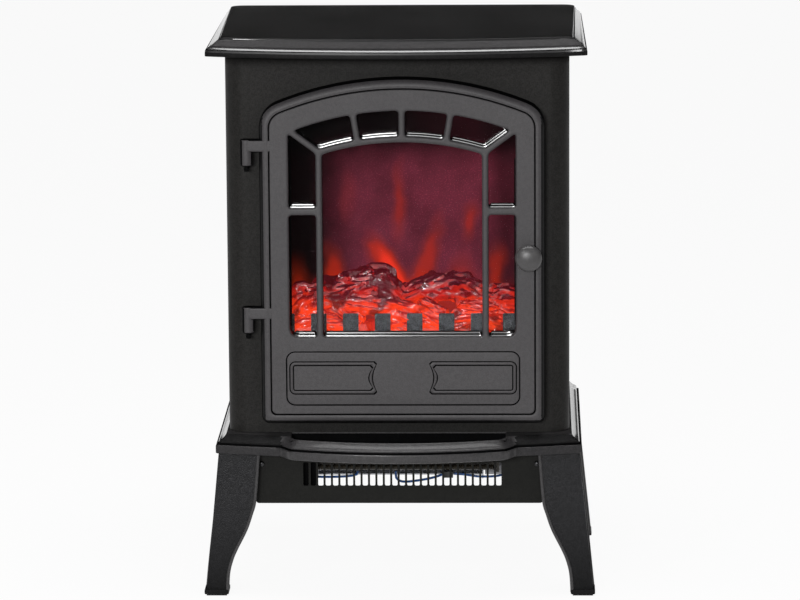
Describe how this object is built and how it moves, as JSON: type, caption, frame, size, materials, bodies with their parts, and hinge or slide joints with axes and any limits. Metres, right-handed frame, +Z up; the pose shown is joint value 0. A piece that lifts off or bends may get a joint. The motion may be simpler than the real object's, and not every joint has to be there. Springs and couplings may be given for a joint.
{
  "type": "electric stove fireplace",
  "caption": "Free-standing stove-style electric fire: charcoal cabinet on scrolled legs, arched hinged door with glazing bars, glowing log set, flame effect and fan heater under the base",
  "frame": {"origin": "on the floor at the middle of the bounding box", "axes": "+X to the right seen from the front, +Y to the back, +Z up; the door faces -Y"},
  "size_m": [0.384, 0.3224, 0.5521],
  "materials": {
    "cast_paint": "satin charcoal stove paint with a fine grain",
    "cabinet_paint": "satin charcoal sheet-metal paint",
    "door_paint": "matt charcoal paint, fine grained",
    "door_glass": "clear toughened glass",
    "zinc_steel": "bright zinc plated",
    "firebox_black": "matt black heat-resistant paint",
    "screen_film": "translucent smoked screen lit from behind",
    "fret_paint": "speckled pewter hammer paint",
    "log_resin": "translucent red moulded resin with dark tops",
    "circuit_board": "solder mask",
    "reflector": "bright anodised",
    "rotor_foil": "mirror foil",
    "motor_can": "grey zinc paint",
    "black_plastic": "moulded, fine texture",
    "rubber": "matt",
    "mica": "mica board with resistance wire",
    "lead_blue": "insulated lead",
    "terminal": "ivory nylon"
  },
  "bodies": {
    "cabinet": {"top_lid": "cast_paint", "front_panel": "cabinet_paint", "left_side_panel": "cabinet_paint", "right_side_panel": "cabinet_paint", "back_panel": "cabinet_paint", "base_plinth": "cast_paint", "leg_front_left": "cast_paint", "leg_front_right": "cast_paint", "leg_rear_left": "cast_paint", "leg_rear_right": "cast_paint", "foot_pad_front_left": "rubber", "foot_pad_front_right": "rubber", "foot_pad_rear_left": "rubber", "foot_pad_rear_right": "rubber", "leg_bolt_front_left": "zinc_steel", "leg_bolt_front_right": "zinc_steel", "leg_bolt_rear_left": "zinc_steel", "leg_bolt_rear_right": "zinc_steel", "catch_magnet": "black_plastic", "hinge_pin_lower": "door_paint", "hinge_pin_upper": "door_paint", "firebox_liner": "firebox_black", "flame_screen": "screen_film", "fret": "fret_paint", "log_set": "log_resin", "ember_led_board": "circuit_board", "flame_box": "reflector", "rotor_bush": "black_plastic", "rotor_motor": "motor_can", "flame_led_board": "circuit_board", "control_panel": "cabinet_paint", "switch_bank": "black_plastic", "thermostat_body": "black_plastic", "heater_box": "cabinet_paint", "apron_screw_left": "zinc_steel", "apron_screw_right": "zinc_steel", "blower_housing": "zinc_steel", "blower_motor": "motor_can", "heating_element": "mica", "thermal_cutout": "black_plastic", "lead_element_left": "lead_blue", "lead_cutout": "lead_blue", "lead_motor": "lead_blue", "cord_gland": "black_plastic", "terminal_block": "terminal"},
    "door": {"door_frame": "door_paint", "door_glass": "door_glass", "glass_retainer_left": "zinc_steel", "glass_retainer_right": "zinc_steel", "door_knob": "door_paint", "knob_screw": "zinc_steel", "strike_plate": "zinc_steel"},
    "rotor": {"flame_rotor": "rotor_foil"},
    "fan_wheel": {"blower_wheel": "reflector"},
    "flame_switch": {"rocker_flame": "black_plastic"},
    "low_heat_switch": {"rocker_low_heat": "black_plastic"},
    "high_heat_switch": {"rocker_high_heat": "black_plastic"},
    "thermostat_dial": {"thermostat_knob": "black_plastic"}
  },
  "joints": [
    {"name": "door_hinge", "type": "hinge", "parent": "cabinet", "child": "door", "pos_m": [-0.1454, -0.11425, 0.345], "axis": [0, 0, -1], "range_deg": [0, 110]},
    {"name": "flame_rotor_spin", "type": "hinge", "parent": "cabinet", "child": "rotor", "pos_m": [0.005, -0.00425, 0.278], "axis": [1, 0, 0], "continuous": true},
    {"name": "blower_spin", "type": "hinge", "parent": "cabinet", "child": "fan_wheel", "pos_m": [0, -0.04825, 0.124], "axis": [1, 0, 0], "continuous": true},
    {"name": "flame_switch_tilt", "type": "hinge", "parent": "cabinet", "child": "flame_switch", "pos_m": [-0.071, -0.08025, 0.2125], "axis": [1, 0, 0], "range_deg": [0, 18]},
    {"name": "low_heat_switch_tilt", "type": "hinge", "parent": "cabinet", "child": "low_heat_switch", "pos_m": [-0.043, -0.08025, 0.2125], "axis": [1, 0, 0], "range_deg": [0, 18]},
    {"name": "high_heat_switch_tilt", "type": "hinge", "parent": "cabinet", "child": "high_heat_switch", "pos_m": [-0.015, -0.08025, 0.2125], "axis": [1, 0, 0], "range_deg": [0, 18]},
    {"name": "thermostat_turn", "type": "hinge", "parent": "cabinet", "child": "thermostat_dial", "pos_m": [0.055, -0.09025, 0.2125], "axis": [0, 1, 0], "range_deg": [0, 270]}
  ]
}
